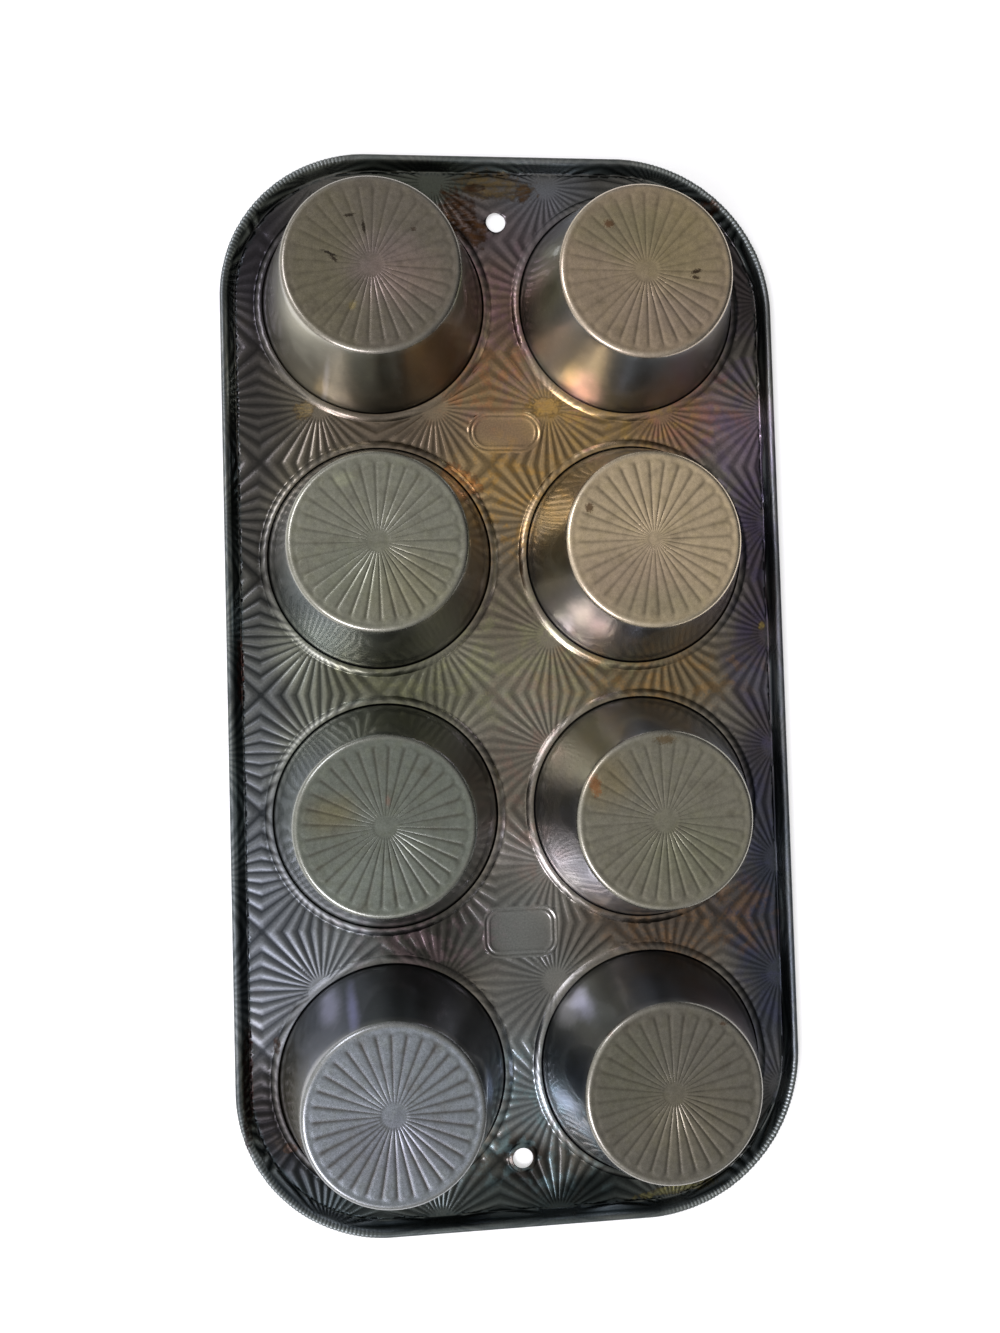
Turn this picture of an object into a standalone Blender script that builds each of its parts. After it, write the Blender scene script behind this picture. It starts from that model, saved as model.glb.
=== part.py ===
# Muffin pan with two columns of four cups, lying with its closed cup ends up.
# +X runs across the two columns, +Y along the four rows, and z = 0 is the
# mouth side of the sheet. All lengths are in metres.

import math

import bmesh
import bpy
from mathutils import Vector

# Material stock and fits
SHEET_THICKNESS = 0.0004
CLEARANCE = 0.0003

# Cups: outside sizes of the drawn, tapered shell
CUP_COLUMNS = ("left", "right")
CUP_ROWS = 4
CUP_HEIGHT = 0.0300
CUP_END_RADIUS = 0.0273
CUP_MOUTH_RADIUS = 0.0365
CUP_END_SETBACK = 0.0011
CUP_MOUTH_SETBACK = 0.0007
CUP_LIP_WIDTH = 0.0024

# Raised ring that the sheet forms around each cup
RING_FOOT_WIDTH = 0.0012
RING_HEADROOM = 0.0004
RING_TURN = math.radians(130)

# Flat land of the sheet, between the rings and out to the bend of the rim
LAND_BETWEEN_COLUMNS = 0.0048
LAND_BETWEEN_ROWS = 0.0042
LAND_AT_EDGE = 0.0052
CORNER_RADIUS = 0.0464

# Rim: a wall that leans outwards and rolls over a wire
RIM_RUN = 0.0046
RIM_RISE = 0.0030
RIM_BEND_SETBACK = 0.0005
RIM_WIRE_RADIUS = 0.0006
RIM_CURL_END = math.radians(-130)

# Hanging holes, one near each end of the sheet
HANG_HOLE_RADIUS = 0.0033
HANG_HOLE_FROM_EDGE = 0.0166
HANG_HOLE_OFFSET_X = -0.0010
COLLAR_WIDTH = 0.0014
COLLAR_HEIGHT = 0.0008

# Fineness of the faceted shapes
CUP_SEGMENTS = 32
HOLE_SEGMENTS = 16
CORNER_STEPS = 9
END_FILLET_STEPS = 3
MOUTH_FILLET_STEPS = 2
RING_STEPS = 4
BEND_STEPS = 2
CURL_STEPS = 8
COLLAR_STEPS = 3
WIRE_BEVEL_RESOLUTION = 2
WELD_DISTANCE = 0.00001
SMOOTH_ANGLE = math.radians(30)

# Colour and roughness of the aged tin plate and of the wire
SHEET_COLOUR = (0.20, 0.19, 0.17, 1.0)
SHEET_ROUGHNESS = 0.38
CUP_COLOUR = (0.30, 0.28, 0.25, 1.0)
CUP_ROUGHNESS = 0.32
WIRE_COLOUR = (0.16, 0.15, 0.14, 1.0)
WIRE_ROUGHNESS = 0.45

# Places that follow from the sizes above
SHEET_MIDDLE = SHEET_THICKNESS / 2
LIP_RADIUS = CUP_MOUTH_RADIUS + CUP_LIP_WIDTH
RING_INNER_RADIUS = CUP_MOUTH_RADIUS + CLEARANCE
RING_FOOT_RADIUS = LIP_RADIUS + RING_FOOT_WIDTH
RING_RISE = SHEET_THICKNESS + CLEARANCE + RING_HEADROOM
CUP_PITCH_X = 2 * RING_FOOT_RADIUS + LAND_BETWEEN_COLUMNS
CUP_PITCH_Y = 2 * RING_FOOT_RADIUS + LAND_BETWEEN_ROWS
EDGE_FROM_CUP_AXIS = RING_FOOT_RADIUS + LAND_AT_EDGE
LAST_COLUMN_X = CUP_PITCH_X * (len(CUP_COLUMNS) - 1) / 2
LAST_ROW_Y = CUP_PITCH_Y * (CUP_ROWS - 1) / 2
HALF_WIDTH = LAST_COLUMN_X + EDGE_FROM_CUP_AXIS
HALF_LENGTH = LAST_ROW_Y + EDGE_FROM_CUP_AXIS
HANG_HOLE_Y = HALF_LENGTH - HANG_HOLE_FROM_EDGE
COLLAR_FOOT_RADIUS = HANG_HOLE_RADIUS + COLLAR_WIDTH


def clear_scene():
    for item in list(bpy.data.objects):
        bpy.data.objects.remove(item, do_unlink=True)


def new_collection(name):
    collection = bpy.data.collections.new(name)
    bpy.context.scene.collection.children.link(collection)
    return collection


def make_material(name, colour, roughness):
    material = bpy.data.materials.new(name)
    material.use_nodes = True
    shader = material.node_tree.nodes["Principled BSDF"]
    shader.inputs["Base Color"].default_value = colour
    shader.inputs["Metallic"].default_value = 1.0
    shader.inputs["Roughness"].default_value = roughness
    return material


def arc(centre, radius, start, end, steps):
    points = []
    for step in range(steps + 1):
        angle = start + (end - start) * step / steps
        offset = Vector((math.cos(angle), math.sin(angle))) * radius
        points.append(centre + offset)
    return points


def fillet(before, corner, after, setback, steps):
    # Points of the arc that rounds a corner, from one tangent point to the other.
    towards_before = (before - corner).normalized()
    towards_after = (after - corner).normalized()
    start = corner + towards_before * setback
    end = corner + towards_after * setback
    half_angle = towards_before.angle(towards_after) / 2
    middle = (towards_before + towards_after).normalized()
    centre = corner + middle * setback / math.cos(half_angle)
    start_angle = math.atan2(start.y - centre.y, start.x - centre.x)
    turn = (start - centre).angle_signed(end - centre)
    return arc(centre, (start - centre).length, start_angle, start_angle - turn, steps)


def rounded_rectangle(half_width, half_length, radius):
    # Outline that runs anticlockwise, starting at the corner at +X and +Y.
    points = []
    for quarter, (side_x, side_y) in enumerate(((1, 1), (-1, 1), (-1, -1), (1, -1))):
        centre = Vector((side_x * (half_width - radius), side_y * (half_length - radius)))
        start = quarter * math.pi / 2
        points += arc(centre, radius, start, start + math.pi / 2, CORNER_STEPS)
    return points


def circle(centre, radius, segments):
    return arc(centre, radius, 0.0, 2 * math.pi, segments)[:-1]


def cup_centres():
    centres = []
    for column, name in enumerate(CUP_COLUMNS):
        for row in range(CUP_ROWS):
            x = column * CUP_PITCH_X - LAST_COLUMN_X
            y = LAST_ROW_Y - row * CUP_PITCH_Y
            centres.append((f"cup_{name}_{row + 1}", Vector((x, y))))
    return centres


def cup_profile():
    # Middle line of the drawn shell, from the axis down to the edge of the lip.
    end_z = CUP_HEIGHT - SHEET_THICKNESS / 2
    axis_point = Vector((0.0, end_z))
    end_corner = Vector((CUP_END_RADIUS - SHEET_THICKNESS / 2, end_z))
    mouth_corner = Vector((CUP_MOUTH_RADIUS - SHEET_THICKNESS / 2, SHEET_MIDDLE))
    lip_edge = Vector((LIP_RADIUS, SHEET_MIDDLE))
    points = [axis_point]
    points += fillet(axis_point, end_corner, mouth_corner, CUP_END_SETBACK, END_FILLET_STEPS)
    points += fillet(end_corner, mouth_corner, lip_edge, CUP_MOUTH_SETBACK, MOUTH_FILLET_STEPS)
    points.append(lip_edge)
    return points


def ring_profile():
    # Middle line of the raised ring, from its free inner edge to the flat sheet.
    points = []
    for step in range(RING_STEPS, -1, -1):
        share = step / RING_STEPS
        radius = RING_FOOT_RADIUS + (RING_INNER_RADIUS - RING_FOOT_RADIUS) * share
        height = SHEET_MIDDLE + RING_RISE * math.sin(RING_TURN * share)
        points.append(Vector((radius, height)))
    return points


def collar_profile():
    # Middle line of the collar that stands up around a hanging hole.
    points = []
    for step in range(COLLAR_STEPS, -1, -1):
        share = step / COLLAR_STEPS
        radius = COLLAR_FOOT_RADIUS - COLLAR_WIDTH * share
        height = SHEET_MIDDLE + COLLAR_HEIGHT * math.sin(share * math.pi / 2)
        points.append(Vector((radius, height)))
    return points


def rim_curl():
    # Radius of the curl's middle line, and its centre seen from the bend.
    sweep = math.pi - RIM_CURL_END
    half_step = sweep / CURL_STEPS / 2
    inner_radius = RIM_WIRE_RADIUS + CLEARANCE
    radius = (inner_radius + SHEET_THICKNESS / 2) / math.cos(half_step)
    centre = Vector((RIM_RUN - radius - SHEET_THICKNESS / 2, RIM_RISE))
    return radius, centre


def rim_profile():
    # Middle line of the rim, from the flat sheet up the wall and over the wire.
    radius, centre = rim_curl()
    flat_start = Vector((-RIM_BEND_SETBACK, 0.0))
    bend_corner = Vector((RIM_BEND_SETBACK, 0.0))
    to_centre = centre - bend_corner
    slope = math.atan2(to_centre.y, to_centre.x) + math.asin(radius / to_centre.length)
    curl_start = slope + math.pi / 2
    curl = arc(centre, radius, curl_start, RIM_CURL_END, CURL_STEPS)
    bend = fillet(flat_start, bend_corner, curl[0], RIM_BEND_SETBACK, BEND_STEPS)
    return bend + curl


def link_object(name, data, collection):
    item = bpy.data.objects.new(name, data)
    collection.objects.link(item)
    return item


def profile_mesh(name, profile):
    mesh = bpy.data.meshes.new(name)
    vertices = [(point.x, 0.0, point.y) for point in profile]
    edges = [(index, index + 1) for index in range(len(profile) - 1)]
    mesh.from_pydata(vertices, edges, [])
    return mesh


def add_screw(item, segments):
    screw = item.modifiers.new("Screw", "SCREW")
    screw.steps = segments
    screw.render_steps = segments
    screw.use_merge_vertices = True
    screw.merge_threshold = WELD_DISTANCE
    screw.use_smooth_shade = True


def add_solidify(item):
    solidify = item.modifiers.new("Sheet thickness", "SOLIDIFY")
    solidify.thickness = SHEET_THICKNESS
    solidify.offset = 0.0
    solidify.use_even_offset = True


def add_spline(curve, points, closed):
    spline = curve.splines.new("POLY")
    spline.points.add(len(points) - 1)
    for target, point in zip(spline.points, points):
        target.co = (point.x, point.y, 0.0, 1.0)
    spline.use_cyclic_u = closed


def new_curve(name, dimensions, fill_mode):
    curve = bpy.data.curves.new(name, "CURVE")
    curve.dimensions = dimensions
    curve.fill_mode = fill_mode
    return curve


def evaluated_mesh(item):
    graph = bpy.context.evaluated_depsgraph_get()
    return bpy.data.meshes.new_from_object(item.evaluated_get(graph))


def make_guide(item):
    item.hide_render = True
    item.display_type = "WIRE"


def flat_sheet_surface(guides):
    # The flat land of the sheet, with a loop for every ring and hanging hole.
    curve = new_curve("sheet_outline", "2D", "BOTH")
    add_spline(curve, rounded_rectangle(HALF_WIDTH, HALF_LENGTH, CORNER_RADIUS), True)
    for _, centre in cup_centres():
        add_spline(curve, circle(centre, RING_FOOT_RADIUS, CUP_SEGMENTS), True)
    plain_hole = Vector((HANG_HOLE_OFFSET_X, HANG_HOLE_Y))
    collar_hole = Vector((HANG_HOLE_OFFSET_X, -HANG_HOLE_Y))
    add_spline(curve, circle(plain_hole, HANG_HOLE_RADIUS, HOLE_SEGMENTS), True)
    add_spline(curve, circle(collar_hole, COLLAR_FOOT_RADIUS, HOLE_SEGMENTS), True)
    item = link_object("sheet_outline", curve, guides)
    item.location.z = SHEET_MIDDLE
    make_guide(item)
    return item


def rim_surface(guides):
    # The rim's middle surface: its profile swept round the sheet's outline.
    # The path's left side is the inside of the sheet, and there +X points.
    section = new_curve("rim_section", "2D", "NONE")
    add_spline(section, [Vector((-point.x, point.y)) for point in rim_profile()], False)
    section_item = link_object("rim_section", section, guides)
    make_guide(section_item)
    path = new_curve("rim_path", "2D", "NONE")
    add_spline(path, rounded_rectangle(HALF_WIDTH, HALF_LENGTH, CORNER_RADIUS), True)
    path.bevel_mode = "OBJECT"
    path.bevel_object = section_item
    item = link_object("rim_path", path, guides)
    item.location.z = SHEET_MIDDLE
    make_guide(item)
    return item


def turned_surface(name, profile, segments, guides):
    item = link_object(name, profile_mesh(name, profile), guides)
    add_screw(item, segments)
    make_guide(item)
    return item


def build_sheet(parts, guides):
    surfaces = [flat_sheet_surface(guides), rim_surface(guides)]
    for name, centre in cup_centres():
        ring = turned_surface(f"ring_{name}", ring_profile(), CUP_SEGMENTS, guides)
        ring.location = (centre.x, centre.y, 0.0)
        surfaces.append(ring)
    collar = turned_surface("hole_collar", collar_profile(), HOLE_SEGMENTS, guides)
    collar.location = (HANG_HOLE_OFFSET_X, -HANG_HOLE_Y, 0.0)
    surfaces.append(collar)
    bpy.context.view_layer.update()

    joined = bmesh.new()
    for surface in surfaces:
        mesh = evaluated_mesh(surface)
        mesh.transform(surface.matrix_world)
        joined.from_mesh(mesh)
        bpy.data.meshes.remove(mesh)
    bmesh.ops.remove_doubles(joined, verts=joined.verts, dist=WELD_DISTANCE)
    bmesh.ops.recalc_face_normals(joined, faces=joined.faces)
    sheet_mesh = bpy.data.meshes.new("pan_sheet")
    joined.to_mesh(sheet_mesh)
    joined.free()

    sheet = link_object("pan_sheet", sheet_mesh, parts)
    sheet_mesh.materials.append(make_material("pan_sheet_tin", SHEET_COLOUR, SHEET_ROUGHNESS))
    sheet_mesh.shade_smooth()
    sheet_mesh.set_sharp_from_angle(angle=SMOOTH_ANGLE)
    add_solidify(sheet)
    return sheet


def build_cups(parts):
    for name, centre in cup_centres():
        mesh = profile_mesh(name, cup_profile())
        mesh.materials.append(make_material(f"{name}_tin", CUP_COLOUR, CUP_ROUGHNESS))
        cup = link_object(name, mesh, parts)
        cup.location = (centre.x, centre.y, 0.0)
        add_screw(cup, CUP_SEGMENTS)
        add_solidify(cup)


def build_rim_wire(parts):
    _, centre = rim_curl()
    path = rounded_rectangle(
        HALF_WIDTH + centre.x,
        HALF_LENGTH + centre.x,
        CORNER_RADIUS + centre.x,
    )
    curve = new_curve("rim_wire", "3D", "FULL")
    curve.bevel_depth = RIM_WIRE_RADIUS
    curve.bevel_resolution = WIRE_BEVEL_RESOLUTION
    add_spline(curve, path, True)
    curve.materials.append(make_material("rim_wire_steel", WIRE_COLOUR, WIRE_ROUGHNESS))
    wire = link_object("rim_wire", curve, parts)
    wire.location.z = SHEET_MIDDLE + centre.y
    return wire


def main():
    clear_scene()
    parts = new_collection("muffin_pan")
    guides = new_collection("muffin_pan_guides")
    build_sheet(parts, guides)
    build_cups(parts)
    build_rim_wire(parts)


main()
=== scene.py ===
# Looks of the muffin pan: the embossed sheet, the fluted cups and the rim wire
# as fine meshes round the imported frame, with aged tin plate as their finish.
import math

import bmesh
import bpy
import numpy as np
from mathutils import Euler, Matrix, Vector
from mathutils.geometry import delaunay_2d_cdt


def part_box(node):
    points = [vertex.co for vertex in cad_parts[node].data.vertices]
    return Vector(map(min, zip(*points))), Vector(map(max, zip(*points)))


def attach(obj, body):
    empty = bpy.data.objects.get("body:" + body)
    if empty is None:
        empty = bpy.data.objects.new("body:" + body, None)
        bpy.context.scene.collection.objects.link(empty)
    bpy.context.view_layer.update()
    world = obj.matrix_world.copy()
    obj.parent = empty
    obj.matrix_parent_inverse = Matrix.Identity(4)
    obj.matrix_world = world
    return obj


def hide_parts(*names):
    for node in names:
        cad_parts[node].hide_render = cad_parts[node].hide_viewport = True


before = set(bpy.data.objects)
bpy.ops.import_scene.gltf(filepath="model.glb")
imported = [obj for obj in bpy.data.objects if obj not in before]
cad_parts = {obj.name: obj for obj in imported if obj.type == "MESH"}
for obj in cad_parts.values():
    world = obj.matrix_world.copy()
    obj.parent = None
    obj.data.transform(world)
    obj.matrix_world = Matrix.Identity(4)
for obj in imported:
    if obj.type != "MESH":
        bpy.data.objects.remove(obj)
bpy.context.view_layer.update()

MM = 0.001

# Camera, as fitted to the circles of the eight cups in the photograph
CAMERA_LENS = 26.293
CAMERA_SENSOR = 36
CAMERA_LOCATION = Vector((-32.55, -4.63, 322.46)) * MM
CAMERA_TURN = Euler((0.034, -0.088, -0.029))
CAMERA_CLIP_START = 0.01

# Sizes that the frame gives
CUP_NAMES = [f"cup_{side}_{row}" for side in ("left", "right") for row in (1, 2, 3, 4)]
CUP_LOW, CUP_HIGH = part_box(CUP_NAMES[0])
LIP_RADIUS = (CUP_HIGH.x - CUP_LOW.x) / 2
CUP_HEIGHT = CUP_HIGH.z

# Sheet, cups and rim as part.py makes them
THICKNESS = 0.4 * MM
SHEET_MIDDLE = THICKNESS / 2
CUP_END_RADIUS = 27.3 * MM
CUP_MOUTH_RADIUS = 36.5 * MM
CUP_END_SETBACK = 1.1 * MM
CUP_MOUTH_SETBACK = 0.7 * MM
RING_INNER_RADIUS = 36.55 * MM
RING_FOOT_RADIUS = 39.1 * MM
RING_RISE = 0.95 * MM
RING_TURN = math.radians(100)
EDGE_HALF_WIDTH = 87.8 * MM
EDGE_HALF_LENGTH = 171.9 * MM
RIM_RUN = 4.6 * MM
RIM_RISE = 3 * MM
RIM_BEND = 0.5 * MM
WIRE_RADIUS = 0.6 * MM
CLEARANCE = 0.3 * MM
CURL_END = math.radians(-130)
HOLE_RADIUS = 3.3 * MM
HOLE_X = -1 * MM
HOLE_Y = 155.3 * MM
COLLAR_WIDTH = 1.4 * MM
COLLAR_HEIGHT = 0.8 * MM

# The bend line's corner radius, from +X+Y round to +X-Y: hand-worked corners differ
CORNER_RADII = (48 * MM, 44 * MM, 44 * MM, 48 * MM)
QUARTERS = ((1, 1), (-1, 1), (-1, -1), (1, -1))

# Starburst embossing of the sheet: square cells with a burst in each middle
CELL = 38.1 * MM
CELL_TURN = math.radians(-0.95)
CELL_CROSSING = Vector((-5.9, -3.1)) * MM
CELL_COLUMNS = range(-3, 4)
CELL_ROWS = range(-6, 6)
RAYS = 32
BURST_PLAIN_RADIUS = 3.6 * MM
BURST_FULL_RADIUS = 1.8 * BURST_PLAIN_RADIUS
RAY_SLOPE = 0.27
RAY_HEIGHT_LIMIT = 0.42 * MM
RAY_CRISPNESS = 0.93

# The rays sink before a ring: how far from it, and the share of their height that is left
RING_CLEAR = 1.1 * MM
RING_EMBOSS = 0.3

# How strongly the crests of the rings and of the hole's collar are worn
RING_WEAR = 0.35
COLLAR_WEAR = 0.2

# Share of the embossing that the rolled rim keeps along its sides and at its corners,
# where on the way round the rim it fades and the curl begins, how deep the curl is sunk,
# and where the land and the wall take on the rim's dark tone, which is painted shade
RIM_NOTCH_ALONG = 0.06
RIM_NOTCH_CORNER = 0.2
RIM_FADE = (1 * MM, 3.2 * MM)
CURL_FADE = (3.6 * MM, 5 * MM)
CURL_SINK = 0.6 * RAY_HEIGHT_LIMIT
LAND_SHADE_FADE = (-1 * MM, -0.1 * MM)
WALL_SHADE_FADE = (0, 1.2 * MM)

# Fine wrinkles of the curl at its corners, where the steel was gathered
WRINKLE_PITCH = 1.2 * MM
WRINKLE_DEPTH = 0.2 * MM
WRINKLE_DRIFT = 7 * MM

# Flutes of the closed cup ends: raised petals with round outer ends, and narrow gaps
FLUTES = 32
FLUTED_FROM = 5 * MM
PETAL_END = 24.9 * MM
PETAL_TIP = 2.8 * MM
PETAL_HEIGHT = 0.14 * MM
PETAL_HEIGHT_PER_RADIUS = 0.018
PETAL_GROWTH = 1 * MM
PETAL_MARGIN = 0.4 * MM
PETAL_FADE = (PETAL_END - 0.6 * MM, PETAL_END + 1.4 * MM)
GAP_FADE = (PETAL_END - 1.8 * MM, PETAL_END)
PETAL_LEAN = 0.35
GAP_SHARE = 0.22
END_FLAT_RADIUS = 25.6 * MM
END_EDGE_HEIGHTS = (27.2 * MM, 28.8 * MM)
END_DISH = 0.5 * MM

# Bare places with a raised outline: centre, half sizes, corner radius
MARKS = (
    (Vector((0, 84)) * MM, Vector((12, 6.5)) * MM, 6.4 * MM),
    (Vector((0.5, -82)) * MM, Vector((12, 8)) * MM, 5 * MM),
)

# Their outlines: a ridge and a lower one inside it, and the strip from MARK_INSIDE to
# MARK_CLEAR that has its own rows of points
MARK_RIDGE_HEIGHT = 0.34 * MM
MARK_RIDGE_WIDTH = 0.5 * MM
MARK_CLEAR = 2 * MARK_RIDGE_WIDTH
MARK_INSIDE = -5 * MARK_RIDGE_WIDTH
MARK_INNER_RIDGE = 1.5 * MM
MARK_INNER_SHARE = 0.6
MARK_POINT_STEP = 0.5 * MM

# Each cup as pressed: its end's offset in X and Y in mm, the turn of its first gap in
# degrees, how strongly its petals came out, toward which side they came out more, how
# soft their sides are and where they start, both in mm
CUP_SHAPES = {
    "cup_left_1": (0.5, 1, -3.26, 0.66, -50, 0.65, 3.2),
    "cup_left_2": (0.5, 1, 0.77, 0.88, -65, 0.5, 3),
    "cup_left_3": (0.5, 0, -3.95, 0.72, -60, 0.5, 3),
    "cup_left_4": (1, -0.5, 0.78, 0.66, -70, 0.75, 3.5),
    "cup_right_1": (0.5, 0, -0.14, 0.8, -70, 0.7, 3.4),
    "cup_right_2": (0, 0.5, 1.69, 0.9, 60, 0.75, 1.4),
    "cup_right_3": (0.5, -1.5, 2.19, 0.8, -90, 0.55, 3.4),
    "cup_right_4": (0.5, 0.5, 2.31, 0.95, -60, 0.6, 3),
}

# Soft daylight from the left, as two windows: place, size in metres, power, colour
LAMPS = (
    ("window_south_west", (-0.44, -0.64, 0.77), (0.42, 0.32), 4.6, (0.90, 0.87, 1)),
    ("window_north_west", (-0.60, 0.40, 0.77), (0.34, 0.28), 2.2, (0.87, 0.86, 1)),
)

# The ceiling's brightness by height, and how much brighter it grows toward the windows
CEILING = ((0, (0.36, 0.36, 0.37)), (0.95, (0.62, 0.61, 0.60)))
CEILING_TOWARD = (-0.92, -0.30, 0)

# A pale floor, with a glow that turns it white where the camera or a mirror sees it
FLOOR_HALF_SIZE = 3
FLOOR_DROP = 0.2 * MM
FLOOR_COLOUR = (0.9, 0.9, 0.9)
FLOOR_ROUGHNESS = 0.9
FLOOR_GLOW = 0.45

# Metal shows its own colour times the dim ceiling that it mirrors
TIN_GAIN = 1.55

# How strongly the burnished walls of the cups mirror the windows over their dull tin
WALL_SHEEN = 0.75
WALL_SHEEN_ROUGHNESS = 0.08

# Colours of the rim's painted shade and painted highlights, of wear, of grime, of the painted shade in
# the cups' gaps and of rust: RGB from 0 to 255, as the photo shows them
RIM_WALL_SHADE = (40, 47, 48)
RIM_COMB_HIGHLIGHT = (134, 140, 138)
WORN_RING = (122, 120, 114)
WORN_CURL = (104, 112, 112)
WORN_CUP_EDGE = (170, 168, 160)
STAIN_BORDER = (44, 32, 24)
SHEET_GRIME = (58, 52, 44)
CUP_GRIME = (72, 66, 56)
GAP_SHADE_TONE = (48, 42, 34)
WIRE_STEEL = (96, 90, 82)
WIRE_RUST = (84, 62, 44)

# What the tone is multiplied by: in the sheet's grooves as painted shade, in olive spots and in the
# walls' scuffs
GROOVE_PAINTED_SHADE = (0.10, 0.11, 0.12)
OLIVE_SHADE = (0.96, 0.97, 0.78)
SCUFF_SHADE = (1.5, 1.5, 1.45)

# Tints of the sheet: centre and half size in mm, colour, strength, and the turn in
# degrees where there is one
SHEET_TONE = (119, 114, 105)
SHEET_TINTS = (
    ((-66, -10), (34, 80), (124, 127, 116), 0.9),
    ((-76, -85), (28, 50), (96, 100, 104), 0.9),
    ((-68, 84), (26, 30), (104, 98, 86), 0.9),
    ((-84, 62), (10, 62), (66, 64, 62), 0.9),
    ((-84, -4), (10, 34), (84, 86, 85), 0.85),
    ((-84, -64), (9, 50), (98, 102, 106), 0.8),
    ((-80, 146), (20, 44), (44, 42, 47), 0.95),
    ((-82, -144), (15, 25), (32, 29, 29), 0.95),
    ((-64, -161), (26, 12), (32, 34, 36), 0.95, -38),
    ((0, 168), (80, 10), (74, 74, 73), 0.85),
    ((-26, 167), (22, 8), (66, 70, 62), 0.85),
    ((13, 158), (13, 15), (106, 109, 116), 0.9),
    ((80, 148), (20, 40), (58, 52, 55), 0.9),
    ((0, 148), (22, 14), (96, 84, 86), 0.8),
    ((0, 124), (14, 14), (108, 82, 72), 0.8),
    ((-4, 102), (16, 12), (116, 90, 68), 0.8),
    ((6, 74), (32, 28), (158, 132, 92), 0.9),
    ((0, 84), (12, 7), (128, 106, 88), 0.9),
    ((38, 88), (34, 12), (152, 126, 90), 0.9),
    ((62, 90), (14, 14), (134, 104, 88), 0.8),
    ((82, 82), (12, 12), (150, 132, 150), 0.85),
    ((86, 34), (10, 44), (74, 66, 76), 0.9),
    ((0, 24), (18, 22), (106, 96, 82), 0.8),
    ((-20, 0), (30, 14), (122, 120, 104), 0.8),
    ((16, 6), (16, 14), (134, 128, 112), 0.8),
    ((48, 2), (26, 13), (118, 102, 76), 0.9),
    ((0, -34), (14, 18), (106, 100, 90), 0.8),
    ((0, -56), (12, 8), (136, 132, 128), 0.8),
    ((86, -30), (10, 40), (74, 68, 72), 0.9),
    ((84, 0), (8, 9), (100, 98, 108), 0.8),
    ((84, -90), (14, 56), (52, 58, 70), 0.9),
    ((82, -148), (14, 14), (46, 47, 47), 0.9),
    ((-28, -82), (26, 16), (45, 44, 42), 0.9),
    ((-56, -84), (9, 8), (112, 116, 116), 0.8),
    ((-38, 2), (20, 10), (84, 85, 70), 0.85),
    ((-38, 84), (22, 12), (94, 82, 70), 0.8),
    ((4, -84), (16, 18), (104, 107, 106), 0.8),
    ((0, -108), (14, 12), (96, 97, 96), 0.8),
    ((50, -82), (30, 12), (78, 68, 60), 0.85),
    ((0, -134), (14, 18), (110, 117, 120), 0.9),
    ((0, -168), (76, 13), (46, 54, 54), 0.9),
    ((20, -168), (14, 6), (26, 31, 31), 0.8),
    ((0, -161.5), (7, 3), (44, 42, 40), 0.9),
    ((-1, -155.3), (5.6, 5.6), (54, 48, 43), 1),
)

# Heat colours that break the tints up: region, half size, colour, blob size, strength
HEAT_COLOURS = (
    ((2, 60), (28, 17), (178, 136, 70), 4, 0.55),
    ((22, 93), (12, 7), (178, 140, 76), 3, 0.5),
    ((44, 88), (30, 12), (172, 138, 70), 5, 0.45),
    ((64, 92), (18, 16), (168, 112, 98), 6, 0.45),
    ((80, 80), (16, 34), (100, 86, 120), 7, 0.4),
    ((85, 20), (12, 50), (74, 68, 98), 7, 0.4),
    ((-4, 118), (20, 26), (132, 98, 112), 6, 0.4),
    ((-8, 100), (20, 12), (168, 110, 72), 5, 0.4),
    ((46, 2), (30, 14), (152, 116, 66), 5, 0.45),
    ((0, 8), (50, 18), (136, 136, 100), 6, 0.4),
    ((6, -30), (14, 36), (134, 106, 96), 6, 0.35),
    ((84, -80), (14, 54), (68, 70, 96), 7, 0.4),
    ((56, -80), (28, 14), (136, 102, 68), 5, 0.4),
    ((-30, -82), (24, 14), (118, 98, 104), 6, 0.35),
    ((0, -142), (36, 20), (118, 148, 154), 6, 0.4),
)

# Small stains and rust: the same values as the tints
SHEET_STAINS = (
    ((-1, 167.5), (11, 3.8), (92, 76, 46), 0.75, -4),
    ((-8, 167), (3, 1.2), (44, 28, 20), 0.9),
    ((8.5, 165.5), (2.4, 2.2), (76, 54, 32), 0.8, -70),
    ((-13, 157), (5, 9), (52, 34, 20), 1, 28),
    ((-6.6, 152), (2.6, 4.4), (62, 42, 26), 0.9, -40),
    ((-17, 148), (2.4, 4), (72, 46, 28), 0.7, 30),
    ((14, 92.5), (5, 3), (186, 146, 76), 0.6),
    ((-15, 68), (6.5, 3.2), (170, 108, 56), 0.6, -36),
    ((-66, 92), (3, 3), (150, 128, 84), 0.5),
    ((-88.4, -126), (1.2, 18), (26, 10, 10), 0.9),
    ((-79.4, -114), (0.9, 2.6), (44, 34, 28), 0.9),
    ((-76, -147), (2, 1.4), (42, 32, 26), 0.8),
    ((-88.2, 6), (0.8, 10), (60, 34, 28), 0.85),
    ((72, 160), (3, 2.4), (92, 54, 30), 0.7, -40),
    ((86, 17), (1.2, 1.4), (150, 130, 60), 0.6),
    ((50, -169), (13, 1.2), (112, 108, 64), 0.5, 8),
)

# Where the sheet is duller: centre, half size, added roughness
DULL_SIDE = ((-84, -84), (36, 100), 0.15)

# Where the painted shade in the grooves between the rays is darkest and faintest: centre, half size,
# depth of the shade
GROOVE_SHADE_STRENGTHS = (
    ((-78, -30), (28, 120), 0.92),
    ((-74, 92), (24, 26), 0.75),
    ((0, -160), (80, 26), 0.8),
    ((6, 62), (20, 24), 0.62),
    ((-6, 12), (24, 22), 0.3),
    ((84, 0), (12, 150), 0.55),
)
# How strongly painted shade darkens the grooves elsewhere
GROOVE_SHADE_STRENGTH = 0.46
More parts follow.
